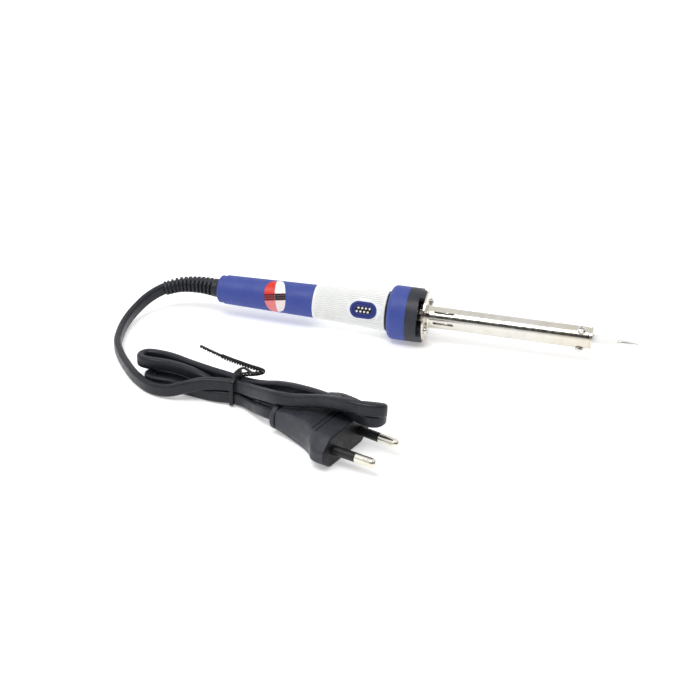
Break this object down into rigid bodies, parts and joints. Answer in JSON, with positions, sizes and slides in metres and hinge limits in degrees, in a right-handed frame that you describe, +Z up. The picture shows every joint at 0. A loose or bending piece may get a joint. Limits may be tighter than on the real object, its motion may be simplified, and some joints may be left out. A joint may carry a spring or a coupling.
{
  "type": "soldering iron",
  "caption": "Pencil soldering iron with a slotted steel barrel, ceramic-sleeved bit, power-boost push button, and a flat mains lead tied in a hank with a two-pin plug.",
  "frame": {"origin": "on the surface that the iron lies on, under the middle of the iron's own length (back of the handle to the point of the bit), cord not counted", "axes": "+X along the iron's axis towards the bit, +Z up, -Y the side with the push button and the hank"},
  "size_m": [0.2416, 0.139, 0.026],
  "materials": {
    "blue_plastic": "moulded, fine satin",
    "white_plastic": "moulded with fine wavy ridges",
    "black_plastic": "moulded, satin",
    "black_bakelite": "heat-resisting moulding, matt",
    "label_film": "printed film, glossy",
    "nickel": "nickel plated, polished",
    "zinc_screw": "zinc plated",
    "bit_steel": "iron plated, satin",
    "ceramic": "alumina ceramic, unglazed",
    "resistance_wire": "drawn wire, dull",
    "mica": "mica paper",
    "glass_fibre": "braided glass-fibre sleeve",
    "inlay_rubber": "soft, matt",
    "nib_white": "moulded",
    "pcb": "solder-resist green",
    "tinned_brass": "tinned",
    "pvc_black": "soft PVC, low sheen",
    "pvc_brown": "soft PVC",
    "pvc_blue": "soft PVC",
    "pin_metal": "nickel plated brass"
  },
  "bodies": {
    "iron": {"rear_handle": "blue_plastic", "front_grip": "white_plastic", "handle_label": "label_film", "neck_ring": "black_plastic", "collar_ring": "blue_plastic", "heat_guard": "black_bakelite", "flange_plate": "nickel", "flange_screws": "zinc_screw", "barrel": "nickel", "bit_bush": "zinc_screw", "heater_core": "ceramic", "heater_winding": "resistance_wire", "mica_sleeve": "mica", "lead_insulator": "ceramic", "heater_leads": "resistance_wire", "lead_sleeves": "glass_fibre", "button_bezel": "blue_plastic", "switch_body": "black_plastic", "circuit_board": "pcb", "diode": "black_plastic", "wire_terminals": "tinned_brass", "cord_clamp": "white_plastic", "clamp_screws": "zinc_screw", "cord_tail": "pvc_black", "mains_core_brown": "pvc_brown", "mains_core_blue": "pvc_blue", "strain_relief": "black_plastic", "cord_tube": "pvc_black", "cord_hank": "pvc_black", "plug_lead": "pvc_black", "plug_relief": "black_plastic", "plug_body": "black_plastic", "plug_pins": "pin_metal", "pin_sleeves": "black_plastic", "twist_tie": "pvc_black"},
    "button": {"button": "blue_plastic", "button_inlay": "inlay_rubber", "button_nibs": "nib_white", "switch_plunger": "tinned_brass"},
    "bit": {"bit": "bit_steel", "bit_sleeve": "ceramic"},
    "upper_screw": {"set_screw_upper": "nickel"},
    "lower_screw": {"set_screw_lower": "nickel"}
  },
  "joints": [
    {"name": "button_press", "type": "slide", "parent": "iron", "child": "button", "axis": [0, 0.9455, -0.3256], "range_m": [0, 0.0009], "stiffness_N_per_m": 1500, "springref_m": -0.0008},
    {"name": "bit_slide", "type": "slide", "parent": "iron", "child": "bit", "axis": [1, 0, 0], "range_m": [0, 0.03]},
    {"name": "upper_screw_turn", "type": "hinge", "parent": "iron", "child": "upper_screw", "pos_m": [0.075, 0, 0.013], "axis": [0, -0.5, 0.866], "range_deg": [0, 720]},
    {"name": "lower_screw_turn", "type": "hinge", "parent": "iron", "child": "lower_screw", "pos_m": [0.075, 0, 0.013], "axis": [0, -0.5, -0.866], "range_deg": [0, 720]}
  ]
}
